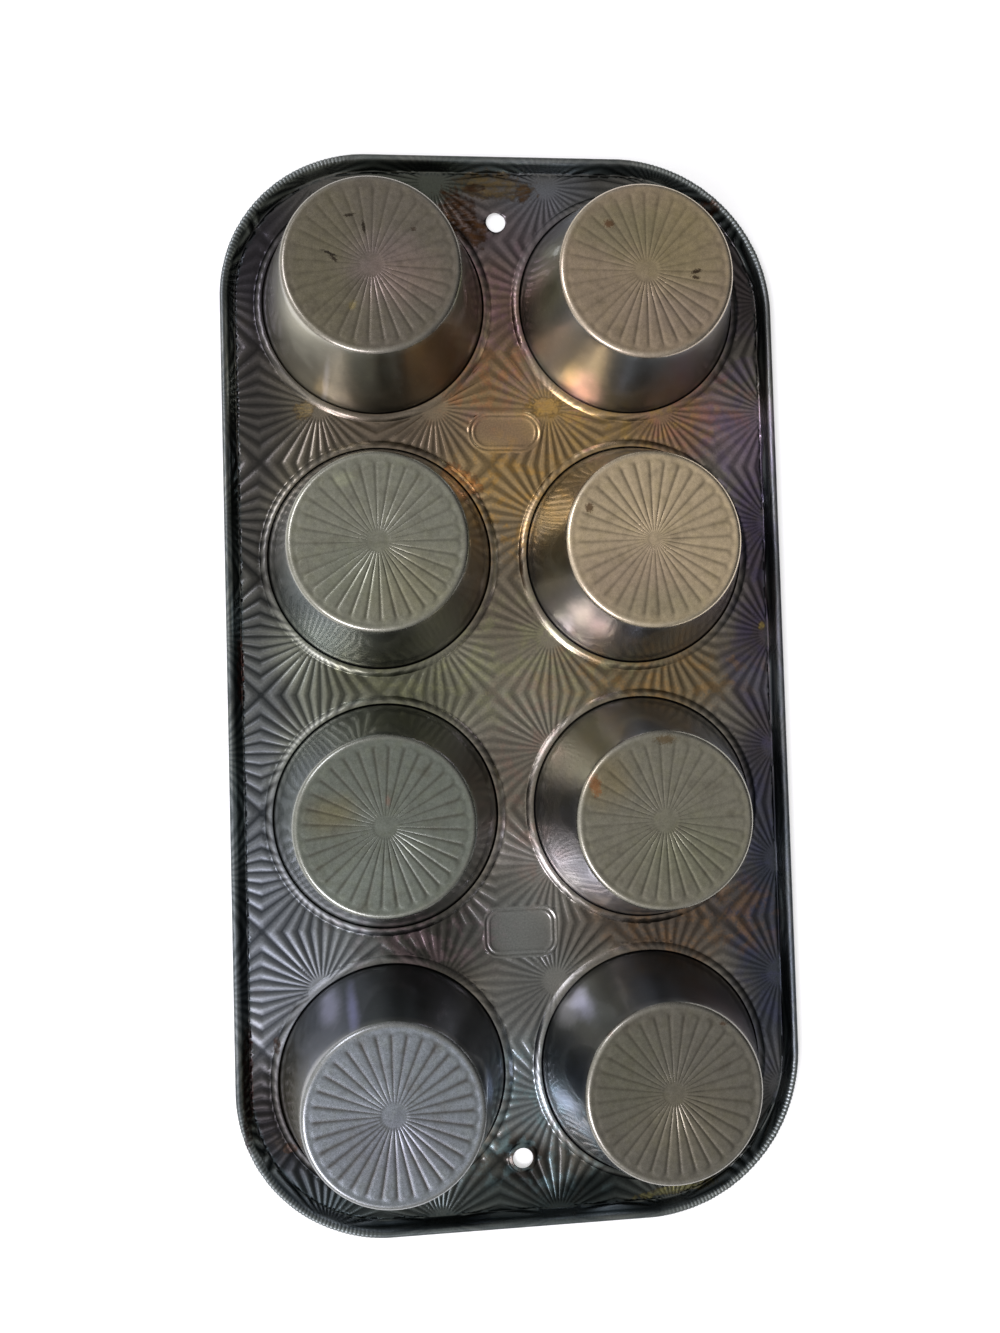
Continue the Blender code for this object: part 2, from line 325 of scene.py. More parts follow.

# Each cup's closed end, its wall, the painted shade in the gaps of its end, the tints of its end,
# the tints of its wall, which are mostly painted light and shade: lighter sides toward the windows,
# darker far sides and pale lavender painted reflections of the windows, with some of the tin's own
# olive, and its marks
CUP_LOOKS = {
    "cup_left_1": ((102, 96, 87), (128, 126, 116), 0.2, (
        ((-56, 124), (12, 24), (104, 99, 80), 0.6),
        ((-38, 127), (10, 9), (116, 104, 104), 0.6),
        ((-32, 124), (10, 8), (126, 110, 100), 0.5),
    ), (
        ((-64, 103), (12, 14), (184, 180, 162), 0.9, 45),
        ((-58.4, 97), (0.9, 3.6), (226, 212, 255), 0.8, -28),
        ((-24, 104), (16, 12), (116, 100, 84), 0.8, -45),
        ((-8, 126), (8, 22), (100, 84, 74), 0.8),
    ), (
        ((-48.4, 142.5), (1.6, 0.5), (46, 40, 34), 0.9, 10),
        ((-44.1, 139), (0.5, 1.8), (46, 40, 34), 0.9, 8),
        ((-54.7, 130.9), (2.2, 0.4), (34, 30, 28), 0.9, -24),
        ((-53.2, 129.1), (1.4, 0.5), (46, 40, 34), 0.9, -40),
        ((-29, 138.5), (0.8, 0.6), (60, 50, 42), 0.8),
        ((-48, 114.9), (1.4, 1), (134, 120, 78), 0.5, 60),
    )),
    "cup_left_2": ((117, 117, 106), (112, 113, 107), 0.3, (
        ((-34, 30), (14, 10), (124, 120, 96), 0.5),
        ((-50, 34), (10, 10), (108, 112, 100), 0.5),
    ), (
        ((-64, 20), (12, 14), (134, 143, 142), 0.9, 45),
        ((-8, 42), (8, 22), (112, 88, 62), 0.8),
    ), (
        ((-52, 62), (3, 2), (150, 152, 128), 0.5, 20),
    )),
    "cup_left_3": ((98, 102, 95), (104, 108, 103), 0.5, (
        ((-58, -38), (7, 5), (104, 98, 72), 0.6),
        ((-50, -60), (14, 8), (112, 118, 112), 0.6),
    ), (
        ((-70, -32), (14, 20), (130, 137, 133), 0.9),
        ((-8, -46), (12, 24), (70, 66, 62), 0.9),
    ), (
        ((-41.1, -34.6), (0.8, 1.4), (122, 92, 80), 0.4),
    )),
    "cup_left_4": ((102, 107, 111), (98, 101, 104), 0.8, (
        ((-42, -136), (16, 9), (90, 92, 98), 0.6),
    ), (
        ((-66, -104), (14, 14), (112, 115, 120), 0.9),
        ((-76, -130), (8, 18), (106, 103, 84), 0.9),
        ((-8, -126), (10, 24), (72, 74, 84), 0.9),
        ((-61.2, -100), (3.4, 2.4), (196, 194, 244), 0.9, 35),
        ((-53.8, -98.2), (1.6, 3.2), (178, 178, 226), 0.9, 22),
        ((-12.8, -122.8), (4, 0.9), (152, 166, 200), 0.8, -83),
    ), ()),
    "cup_right_1": ((158, 141, 121), (132, 134, 134), 0.2, (
        ((52, 136), (14, 16), (148, 136, 100), 0.6),
        ((34, 140), (14, 8), (128, 122, 98), 0.6),
        ((50, 114), (12, 8), (150, 134, 122), 0.5),
    ), (
        ((5, 126), (5, 22), (84, 84, 72), 0.9),
        ((13.4, 124), (4, 17), (168, 172, 146), 0.9),
        ((22, 106), (12, 12), (170, 178, 178), 0.9),
        ((25.4, 95.8), (6, 2.6), (222, 186, 246), 0.8, -29),
        ((66, 104), (14, 14), (126, 116, 106), 0.8),
    ), (
        ((31.4, 141), (1.6, 1.2), (96, 66, 44), 0.8),
        ((58.7, 126.3), (1.6, 0.6), (58, 44, 34), 0.9, 20),
        ((58.3, 124.4), (1.2, 0.5), (58, 44, 34), 0.9, -10),
    )),
    "cup_right_2": ((184, 166, 138), (116, 120, 122), 0.45, (
        ((34, 30), (16, 10), (152, 134, 122), 0.5),
        ((44, 22), (14, 6), (140, 134, 110), 0.5),
    ), (
        ((18, 62), (12, 12), (128, 126, 112), 0.8),
        ((13, 42), (4, 15), (142, 140, 116), 0.9),
        ((22, 17), (13, 10), (134, 132, 146), 0.9, -40),
        ((20.6, 21.6), (3.4, 2.2), (212, 202, 244), 0.9, -46),
        ((26.4, 16.8), (3, 1.8), (212, 196, 236), 0.9, -33),
        ((66, 22), (14, 16), (130, 112, 98), 0.8),
    ), (
        ((22.4, 52.5), (1.2, 1.4), (84, 60, 40), 0.8),
    )),
    "cup_right_3": ((121, 118, 106), (130, 132, 134), 0.2, (
        ((24, -30), (8, 8), (124, 112, 84), 0.6),
        ((50, -54), (14, 10), (112, 114, 94), 0.5),
    ), (
        ((20, -66), (11, 12), (158, 157, 166), 0.9, -40),
        ((18, -24), (14, 12), (142, 141, 122), 0.9),
        ((16, -64.6), (4, 2.6), (236, 228, 255), 0.9, -49),
        ((25, -70.4), (3.4, 2), (226, 218, 250), 0.8, -31),
    ), (
        ((21.5, -32.2), (1.6, 3.2), (140, 96, 62), 0.8, 14),
        ((43.7, -18.9), (3, 1.4), (92, 74, 48), 0.7),
    )),
    "cup_right_4": ((102, 99, 91), (102, 105, 108), 0.35, (
        ((46, -134), (14, 10), (112, 106, 90), 0.5),
        ((28, -118), (10, 14), (96, 96, 82), 0.5),
    ), (
        ((7, -130), (9, 14), (80, 86, 88), 0.9),
        ((20, -104), (12, 12), (122, 124, 116), 0.9),
        ((64, -104), (16, 14), (96, 84, 80), 0.8),
        ((14, -106.8), (3.8, 2), (206, 206, 255), 0.9, 55),
        ((18.4, -103.4), (3.2, 2.4), (190, 190, 240), 0.8, 47),
        ((11.6, -132), (2.6, 2.8), (186, 194, 236), 0.9, 10),
        ((15.6, -137), (3.6, 2.2), (192, 200, 234), 0.9, -69),
    ), (
        ((23.3, -106.7), (1.2, 1), (74, 56, 40), 0.8),
        ((58.7, -105.8), (1, 0.7), (70, 52, 38), 0.8),
    )),
}

# How soft the edges of the patches are, as a share of their size
TINT_SOFTNESS = 0.7
HEAT_SOFTNESS = 0.5
STAIN_SOFTNESS = 0.3
DULL_SOFTNESS = 0.5
GROOVE_SHADE_SOFTNESS = 0.5
WALL_SOFTNESS = 0.8
CUP_MARK_SOFTNESS = 0.4

# A patch's size along Z in mm: so large that the height of a point makes no difference
ANY_HEIGHT = 100000

# Fineness of the meshes
OUTLINE_STEP = 0.6 * MM
CORNER_STEP = 0.3 * MM
RING_SEGMENTS = 400
RING_STEPS = 12
COLLAR_STEPS = 8
CURL_STEP = 0.17
FLUTE_SHARES = (
    0, 0.04, 0.08, 0.12, 0.16, 0.21, 0.28, 0.38, 0.5, 0.62, 0.72, 0.79, 0.84, 0.88, 0.92, 0.96,
)
CUP_SEGMENTS = len(FLUTE_SHARES) * FLUTES
HUB_RADIUS = 0.4 * MM
HUB_POINTS = 13
FLUTE_POINTS = 22
TIP_POINTS = 14
WALL_POINTS = 14
EDGE_STEPS = 7
BEND_STEPS = 4
RIM_WALL_POINTS = 7
SPOKES = 4 * RAYS
SPOKE_STEPS = 22
MIDDLE_RINGS = ((0.35, 12), (0.7, 24))
MARK_OFFSETS = np.linspace(-4.6, 1.6, 17) * MARK_RIDGE_WIDTH
MARK_CORNER_STEPS = 18
HOLE_SEGMENTS = 48
WIRE_SEGMENTS = 10
LAND_MARGIN = 0.28 * MM
SHEET_WELD = 0.01 * MM
FINE_WELD = 0.001 * MM


# Geometry helpers

def smoothstep(low, high, value):
    share = np.clip((value - low) / (high - low), 0, 1)
    return share * share * (3 - 2 * share)


def make_piece(name, vertices, faces, marks, material, replaced):
    # marks: named values or colours of each point, which the finish reads.
    mesh = bpy.data.meshes.new(name)
    mesh.from_pydata(np.asarray(vertices).tolist(), [], faces)
    mesh.update()
    for mark, values in marks.items():
        if values.ndim == 2:
            layer = mesh.attributes.new(mark, "FLOAT_COLOR", "POINT")
            layer.data.foreach_set("color", np.insert(values, 3, 1, axis=1).ravel())
        else:
            layer = mesh.attributes.new(mark, "FLOAT", "POINT")
            layer.data.foreach_set("value", values)
    mesh.shade_smooth()
    mesh.materials.append(material)
    piece = bpy.data.objects.new(name, mesh)
    bpy.context.scene.collection.objects.link(piece)
    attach(piece, "root")
    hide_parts(replaced)
    return piece


def weld(piece, distance):
    work = bmesh.new()
    work.from_mesh(piece.data)
    bmesh.ops.remove_doubles(work, verts=work.verts, dist=distance)
    bmesh.ops.recalc_face_normals(work, faces=work.faces)
    work.to_mesh(piece.data)
    work.free()
    piece.data.shade_smooth()


def add_thickness(piece):
    solidify = piece.modifiers.new("Sheet thickness", "SOLIDIFY")
    solidify.thickness = THICKNESS
    solidify.offset = 0
    solidify.use_even_offset = False


def strip_faces(rows, columns, first=0, closed=False):
    # Quads between closed loops of points; where closed, the last loop joins the first.
    faces = []
    for row in range(rows if closed else rows - 1):
        here = first + row * columns
        above = first + (row + 1) % rows * columns
        for column in range(columns):
            after = (column + 1) % columns
            faces.append((here + column, here + after, above + after, above + column))
    return faces


def arc(centre, radius, start, end, steps):
    angles = np.linspace(start, end, steps + 1)
    return np.column_stack([centre[0] + radius * np.cos(angles), centre[1] + radius * np.sin(angles)])


def circle(segments, radius=1, centre=(0, 0)):
    return arc(centre, radius, 0, 2 * math.pi, segments)[:-1]


def fillet(before, corner, after, setback, steps):
    before, corner, after = (np.asarray(point, float) for point in (before, corner, after))
    to_before = (before - corner) / np.linalg.norm(before - corner)
    to_after = (after - corner) / np.linalg.norm(after - corner)
    share = np.linspace(0, 1, steps + 1)[:, None]
    start = corner + to_before * setback
    end = corner + to_after * setback
    half = math.acos(np.clip(to_before @ to_after, -1, 1)) / 2
    middle = (to_before + to_after) / np.linalg.norm(to_before + to_after)
    centre = corner + middle * setback / math.cos(half)
    along = (start - centre) * (1 - share) + (end - centre) * share
    radius = np.linalg.norm(start - centre)
    return centre + along / np.linalg.norm(along, axis=1)[:, None] * radius


def run_lengths(points):
    # How far each point of a line is from its first one.
    return np.concatenate([[0], np.cumsum(np.linalg.norm(np.diff(points, axis=0), axis=1))])


def rounded_distance(over_x, over_y, radius):
    # Signed distance to a rounded outline, negative inside, from how far a point lies
    # beyond the centres of its corners.
    corner = np.hypot(np.maximum(over_x, 0), np.maximum(over_y, 0))
    return corner + np.minimum(np.maximum(over_x, over_y), 0) - radius


# Outline of the sheet at the bend of the rim

def corner_centre(quarter):
    side_x, side_y = QUARTERS[quarter]
    radius = CORNER_RADII[quarter]
    return np.array([side_x * (EDGE_HALF_WIDTH - radius), side_y * (EDGE_HALF_LENGTH - radius)])


def outline():
    # Points and outward normals: anticlockwise from the corner at +X and +Y.
    points = []
    normals = []
    for quarter, radius in enumerate(CORNER_RADII):
        steps = round(radius * math.pi / 2 / CORNER_STEP)
        angles = quarter * math.pi / 2 + np.linspace(0, math.pi / 2, steps + 1)
        directions = np.column_stack([np.cos(angles), np.sin(angles)])
        points.append(corner_centre(quarter) + directions * radius)
        normals.append(directions)
        following = (quarter + 1) % len(QUARTERS)
        start = points[-1][-1]
        end = corner_centre(following) + directions[-1] * CORNER_RADII[following]
        count = round(np.linalg.norm(end - start) / OUTLINE_STEP)
        shares = np.linspace(0, 1, count + 1)[1:-1, None]
        points.append(start + (end - start) * shares)
        normals.append(np.repeat(directions[-1:], count - 1, axis=0))
    return np.concatenate(points), np.concatenate(normals)


def outline_distance(points):
    x, y = points[:, 0], points[:, 1]
    quarter = np.where(y >= 0, np.where(x >= 0, 0, 1), np.where(x >= 0, 3, 2))
    radius = np.array(CORNER_RADII)[quarter]
    over_x = np.abs(x) - (EDGE_HALF_WIDTH - radius)
    over_y = np.abs(y) - (EDGE_HALF_LENGTH - radius)
    return rounded_distance(over_x, over_y, radius)


def cup_centre(name):
    low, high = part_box(name)
    return np.array([(low.x + high.x) / 2, (low.y + high.y) / 2])


# Embossed height of the sheet, as a function of the place on the flat blank

def mark_distance(x, y, mark):
    centre, half, radius = mark
    over_x = np.abs(x - centre.x) - (half.x - radius)
    over_y = np.abs(y - centre.y) - (half.y - radius)
    return rounded_distance(over_x, over_y, radius)


def burst_place(x, y):
    # Distance from the nearest burst's middle, and 1 on its rays falling to 0 between them.
    from_x = x - CELL_CROSSING.x
    from_y = y - CELL_CROSSING.y
    along = from_x * math.cos(CELL_TURN) + from_y * math.sin(CELL_TURN)
    across = from_y * math.cos(CELL_TURN) - from_x * math.sin(CELL_TURN)
    along = np.mod(along, CELL) - CELL / 2
    across = np.mod(across, CELL) - CELL / 2
    wave = -np.cos(RAYS * np.arctan2(across, along))
    facet = 0.5 + 0.5 * np.arcsin(RAY_CRISPNESS * wave) / math.asin(RAY_CRISPNESS)
    return np.hypot(along, across), facet


def embossed_height(x, y):
    radius, facet = burst_place(x, y)
    height = np.minimum(RAY_SLOPE * radius * math.pi / RAYS, RAY_HEIGHT_LIMIT)
    height = height * facet * smoothstep(BURST_PLAIN_RADIUS, BURST_FULL_RADIUS, radius)
    for mark in MARKS:
        distance = mark_distance(x, y, mark)
        height = height * smoothstep(0, MARK_CLEAR, distance)
        outer = np.exp(-((distance / MARK_RIDGE_WIDTH) ** 2))
        inner = np.exp(-(((distance + MARK_INNER_RIDGE) / MARK_RIDGE_WIDTH) ** 2))
        height = height + MARK_RIDGE_HEIGHT * (outer + MARK_INNER_SHARE * inner)
    return height


def groove_share(x, y):
    # 1 in the grooves between the rays, 0 on the rays and on the plain places.
    radius, facet = burst_place(x, y)
    share = (1 - facet) * smoothstep(BURST_PLAIN_RADIUS, 1.4 * BURST_PLAIN_RADIUS, radius)
    for mark in MARKS:
        share = share * smoothstep(0, MARK_CLEAR, mark_distance(x, y, mark))
    return share


# Tints of the sheet, as values of its points

def wobbled(x, y):
    # Places in mm, shifted by soft waves that make the edges of the patches uneven.
    shift_x = 2.4 * np.sin(y / 7.1 + 0.8 * np.sin(x / 5.3)) + 1.1 * np.sin(x / 2.9 + y / 3.7)
    shift_y = 2.4 * np.sin(x / 6.3 + 0.9 * np.sin(y / 4.7)) + 1.1 * np.sin(y / 2.3 - x / 4.1)
    return x + shift_x, y + shift_y


def patch_share(x, y, soft, centre, half, turn=0):
    # 1 in the middle of a patch, falling softly to 0 outside its edge.
    cos, sin = math.cos(math.radians(turn)), math.sin(math.radians(turn))
    from_x = x - centre[0]
    from_y = y - centre[1]
    along = (from_x * cos + from_y * sin) / half[0]
    across = (from_y * cos - from_x * sin) / half[1]
    return 1 - smoothstep(1 - soft, 1 + soft, np.hypot(along, across))


def tint_values(x, y):
    x, y = wobbled(x / MM, y / MM)
    tone = np.tile(colour(*SHEET_TONE), (len(x), 1))
    for centre, half, tint, strength, *turn in SHEET_TINTS:
        share = strength * patch_share(x, y, TINT_SOFTNESS, centre, half, *turn)[:, None]
        tone = tone * (1 - share) + np.array(colour(*tint)) * share
    return tone


def groove_shade_strengths(x, y):
    # Strength of the painted shade in the grooves at each place
    x, y = wobbled(x / MM, y / MM)
    depth = np.full(len(x), GROOVE_SHADE_STRENGTH)
    for centre, half, level in GROOVE_SHADE_STRENGTHS:
        share = patch_share(x, y, GROOVE_SHADE_SOFTNESS, centre, half)
        depth = depth * (1 - share) + level * share
    return depth


# Sheet

def spoke_points():
    # Points along the ridges and grooves of every burst, where the land is flat.
    angles = np.arange(SPOKES) * 2 * math.pi / SPOKES
    reach = CELL / 2 / np.maximum(np.abs(np.cos(angles)), np.abs(np.sin(angles)))
    shares = np.linspace(0, 1, SPOKE_STEPS + 1)[:, None]
    radii = BURST_PLAIN_RADIUS + (reach - BURST_PLAIN_RADIUS) * shares
    fine = np.column_stack([(radii * np.cos(angles)).ravel(), (radii * np.sin(angles)).ravel()])
    coarse = [np.zeros((1, 2))]
    for share, count in MIDDLE_RINGS:
        coarse.append(circle(count, BURST_PLAIN_RADIUS * share))
    burst = np.concatenate([fine] + coarse)
    cells = []
    for column in CELL_COLUMNS:
        for row in CELL_ROWS:
            cells.append(burst + np.array([(column + 0.5) * CELL, (row + 0.5) * CELL]))
    x, y = np.concatenate(cells).T
    cos, sin = math.cos(CELL_TURN), math.sin(CELL_TURN)
    return np.column_stack([x * cos - y * sin, x * sin + y * cos]) + np.array(CELL_CROSSING)


def mark_points():
    # Rows of points on and beside the outlines of the bare places.
    rows = []
    for centre, half, radius in MARKS:
        for offset in MARK_OFFSETS:
            ends = []
            for quarter, (side_x, side_y) in enumerate(QUARTERS):
                middle = (centre.x + side_x * (half.x - radius), centre.y + side_y * (half.y - radius))
                start = quarter * math.pi / 2
                ends.append(arc(middle, radius + offset, start, start + math.pi / 2, MARK_CORNER_STEPS))
            loop = np.concatenate(ends)
            following = np.roll(loop, -1, axis=0)
            gaps = np.linalg.norm(following - loop, axis=1)
            for start, end, gap in zip(loop, following, gaps):
                count = max(1, round(gap / MARK_POINT_STEP))
                shares = np.arange(count)[:, None] / count
                rows.append(start + (end - start) * shares)
    return np.concatenate(rows)


def clear_of(points, centre, radius):
    return np.hypot(points[:, 0] - centre[0], points[:, 1] - centre[1]) > radius


def land_mesh(edge_points, holes):
    # Flat land between the outline and the round holes, finely triangulated.
    spokes = spoke_points()
    for mark in MARKS:
        distance = mark_distance(spokes[:, 0], spokes[:, 1], mark)
        spokes = spokes[(distance > MARK_CLEAR) | (distance < MARK_INSIDE)]
    inner = np.concatenate([spokes, mark_points()])
    keep = outline_distance(inner) < -LAND_MARGIN
    for centre, radius, _ in holes:
        keep &= clear_of(inner, centre, radius + LAND_MARGIN)
    inner = np.unique(np.round(inner[keep], 7), axis=0)
    loops = [edge_points]
    for centre, radius, segments in holes:
        loops.append(circle(segments, radius, centre))
    edges = []
    first = 0
    for loop in loops:
        count = len(loop)
        edges += [(first + index, first + (index + 1) % count) for index in range(count)]
        first += count
    points = np.concatenate(loops + [inner])
    # The triangulation works in millimetres, where its tolerance fits.
    found = delaunay_2d_cdt([Vector(p) for p in (points / MM).tolist()], edges, [], 0, 1e-5)
    places = np.array([tuple(p) for p in found[0]]) * MM
    triangles = np.array(found[2])
    middles = places[triangles].mean(axis=1)
    keep = outline_distance(middles) < 0
    for centre, radius, segments in holes:
        keep &= clear_of(middles, centre, radius * math.cos(math.pi / segments))
    return places, triangles[keep]


def rim_profile():
    # Middle line of the rim as (out, up) from the bend, from the land to the curl's end.
    sweep = math.pi - CURL_END
    radius = WIRE_RADIUS + CLEARANCE + THICKNESS / 2
    centre = np.array([RIM_RUN - radius - THICKNESS / 2, RIM_RISE])
    bend_corner = np.array([RIM_BEND, 0])
    to_centre = centre - bend_corner
    slope = math.atan2(to_centre[1], to_centre[0]) + math.asin(radius / np.linalg.norm(to_centre))
    curl = arc(centre, radius, slope + math.pi / 2, CURL_END, round(sweep / CURL_STEP))
    bend = fillet((-RIM_BEND, 0), bend_corner, curl[0], RIM_BEND, BEND_STEPS)
    wall = bend[-1] + (curl[0] - bend[-1]) * np.linspace(0, 1, RIM_WALL_POINTS)[1:-1, None]
    return np.concatenate([bend, wall, curl]), centre


def sheet_row(place, height, groove, edge=0, rim=0, comb_highlight=0):
    # Points with the marks that the finish reads: in a groove, where painted shade falls; on a
    # worn edge; on the rim, whose bend and wall painted shade darkens; on a painted highlight of the
    # rim.
    columns = [np.broadcast_to(values, len(place)) for values in (height, groove, edge, rim, comb_highlight)]
    return np.column_stack([place, *columns])


def land_row(places, rings):
    x, y = places.T
    heights = embossed_height(x, y)
    for centre, radius, _ in rings:
        away = np.hypot(x - centre[0], y - centre[1]) - radius
        heights = heights * (RING_EMBOSS + (1 - RING_EMBOSS) * smoothstep(0, RING_CLEAR, away))
    # The land next to the bend takes the rim's painted shade
    rim = 0.9 * smoothstep(*LAND_SHADE_FADE, outline_distance(places))
    return sheet_row(places, SHEET_MIDDLE + heights, groove_share(x, y), rim=rim)


def ring_rows(centre, radius, segments):
    # A raised ring: its middle line turned about the cup's axis.
    rows = []
    for share in np.linspace(0, 1, RING_STEPS + 1):
        place = centre + circle(segments) * (radius + (RING_INNER_RADIUS - radius) * share)
        x, y = place.T
        emboss = embossed_height(x, y) * RING_EMBOSS * (1 - smoothstep(0.4, 1, share))
        height = SHEET_MIDDLE + RING_RISE * math.sin(RING_TURN * share) + emboss
        worn = RING_WEAR * math.sin(math.pi * share) ** 2
        rows.append(sheet_row(place, height, groove_share(x, y) * (1 - 0.5 * share), worn))
    return rows


def collar_rows(centre, radius, segments):
    # The raised collar of the lower hanging hole.
    rows = []
    for share in np.linspace(0, 1, COLLAR_STEPS + 1):
        place = centre + circle(segments) * (radius - COLLAR_WIDTH * share)
        x, y = place.T
        emboss = embossed_height(x, y) * (1 - smoothstep(0, 0.6, share))
        height = SHEET_MIDDLE + COLLAR_HEIGHT * math.sin(share * math.pi / 2) + emboss
        worn = COLLAR_WEAR * math.sin(math.pi * share)
        rows.append(sheet_row(place, height, groove_share(x, y) * (1 - share), worn))
    return rows


def rim_rows(edge_points, edge_normals):
    # The rim: its profile swept round the outline, embossed as the blank was.
    profile, _ = rim_profile()
    turning = np.minimum(np.abs(edge_normals[:, 0]), np.abs(edge_normals[:, 1]))
    cornered = smoothstep(0, 0.35, turning)
    run = run_lengths(edge_points)
    wave = np.sin(2 * math.pi * run / WRINKLE_PITCH + 1.5 * np.sin(run / WRINKLE_DRIFT))
    wrinkle = cornered * (0.5 + 0.5 * wave)
    notched = RIM_NOTCH_ALONG + (RIM_NOTCH_CORNER - RIM_NOTCH_ALONG) * cornered
    tangents = np.gradient(profile, axis=0)
    tangents /= np.linalg.norm(tangents, axis=1)[:, None]
    rows = []
    for (out, up), length, tangent in zip(profile, run_lengths(profile), tangents):
        x, y = (edge_points + edge_normals * (length + profile[0][0])).T
        curled = smoothstep(*CURL_FADE, length)
        kept = 1 - smoothstep(*RIM_FADE, length) * (1 - notched)
        push = embossed_height(x, y) * kept - (CURL_SINK + WRINKLE_DEPTH * wrinkle) * curled
        place = edge_points + edge_normals * (out - tangent[1] * push)[:, None]
        height = SHEET_MIDDLE + up + tangent[0] * push
        groove = groove_share(x, y)
        rim = smoothstep(*WALL_SHADE_FADE, length)
        # Painted highlights: on the rays that cross the rim, and on the corner curl between its
        # wrinkles
        rays = (1 - groove) * (0.15 + 0.6 * cornered)
        comb_highlight = rays * (1 - curled) + (cornered - wrinkle) * curled
        rows.append(sheet_row(place, height, groove, curled, rim, comb_highlight))
    return rows


def build_sheet(material):
    edge_points, edge_normals = outline()
    rings = [(cup_centre(name), RING_FOOT_RADIUS, RING_SEGMENTS) for name in CUP_NAMES]
    plain_hole = (np.array([HOLE_X, HOLE_Y]), HOLE_RADIUS, HOLE_SEGMENTS)
    collar = (np.array([HOLE_X, -HOLE_Y]), HOLE_RADIUS + COLLAR_WIDTH, HOLE_SEGMENTS)
    places, triangles = land_mesh(edge_points, rings + [plain_hole, collar])
    rows = [land_row(places, rings)]
    faces = triangles.tolist()
    strips = [ring_rows(*ring) for ring in rings]
    strips += [collar_rows(*collar), rim_rows(edge_points, edge_normals)]
    for strip in strips:
        faces += strip_faces(len(strip), len(strip[0]), sum(len(row) for row in rows))
        rows += strip
    points = np.concatenate(rows)
    x, y = points[:, 0], points[:, 1]
    groove, edge, rim, comb_highlight = points[:, 3:].T.copy()
    marks = {
        "tint": tint_values(x, y),
        # How strongly painted shade darkens each point of a groove
        "groove": smoothstep(0.15, 0.85, groove) * groove_shade_strengths(x, y),
        "edge": edge,
        "rim": rim,
        # Where painted highlights fall on the rim
        "comb_highlight": comb_highlight,
    }
    sheet = make_piece("sheet_embossed", points[:, :3], faces, marks, material, "pan_sheet")
    weld(sheet, SHEET_WELD)
    add_thickness(sheet)


def build_rim_wire(material):
    edge_points, edge_normals = outline()
    _, centre = rim_profile()
    rows = []
    for out, up in circle(WIRE_SEGMENTS, WIRE_RADIUS, centre):
        place = edge_points + edge_normals * out
        rows.append(np.column_stack([place, np.full(len(place), SHEET_MIDDLE + up)]))
    faces = strip_faces(len(rows), len(edge_points), closed=True)
    vertices = np.concatenate(rows)
    wire = make_piece("wire_in_rim", vertices, faces, {}, material, "rim_wire")
    weld(wire, FINE_WELD)


# Cups

def cup_profile():
    # Middle line of the shell as (radius, height), from the axis to the lip's edge.
    end_z = CUP_HEIGHT - THICKNESS / 2
    end_corner = (CUP_END_RADIUS - THICKNESS / 2, end_z)
    mouth_corner = (CUP_MOUTH_RADIUS - THICKNESS / 2, SHEET_MIDDLE)
    lip_edge = (LIP_RADIUS, SHEET_MIDDLE)
    inner = np.linspace(HUB_RADIUS, FLUTED_FROM, HUB_POINTS)
    fluted = np.linspace(FLUTED_FROM, PETAL_END - PETAL_TIP, FLUTE_POINTS)[1:]
    ended = np.linspace(PETAL_END - PETAL_TIP, PETAL_END + PETAL_MARGIN, TIP_POINTS)[1:]
    flat = np.concatenate([inner, fluted, ended, [END_FLAT_RADIUS]])
    end = np.column_stack([flat, np.full(len(flat), end_z)])
    edge = fillet((0, end_z), end_corner, mouth_corner, CUP_END_SETBACK, EDGE_STEPS)
    mouth = fillet(end_corner, mouth_corner, lip_edge, CUP_MOUTH_SETBACK, BEND_STEPS)
    wall = edge[-1] + (mouth[0] - edge[-1]) * np.linspace(0, 1, WALL_POINTS)[1:-1, None]
    return np.concatenate([end, edge, wall, mouth, [lip_edge]])


def petal_shape(radius, share, soft, start):
    # 1 on a petal, 0 in the gaps, the margin and the middle; share runs across one flute.
    half_flute = math.pi / FLUTES
    end_turn = half_flute * (1 - GAP_SHARE)
    end_centre = PETAL_END / (1 + end_turn)
    aside = np.abs(share - 0.5) * 2 * half_flute * radius
    beyond = max(0, radius - end_centre)
    outside = np.hypot(beyond, aside) - min(radius, end_centre) * end_turn
    edge = soft * min(1, radius / (0.6 * PETAL_END)) * (1 + 0.8 * beyond / (PETAL_END - end_centre))
    return smoothstep(-edge, edge, -outside) * smoothstep(start, start + PETAL_GROWTH, radius)


def end_shape(radius, share, relief, soft, start):
    # How far a closed end lies below its top at this radius, and 1 in its gaps.
    petal = petal_shape(radius, share, soft, start)
    depth = min(PETAL_HEIGHT, PETAL_HEIGHT_PER_RADIUS * radius) * relief
    settled = 1 - smoothstep(*PETAL_FADE, radius)
    dish = END_DISH * max(0, 1 - (radius / END_FLAT_RADIUS) ** 2)
    gap = (1 - petal) * (1 - smoothstep(*GAP_FADE, radius))
    gap = gap * smoothstep(start, start + PETAL_GROWTH, radius)
    return depth * (1 - petal) * settled + dish, gap


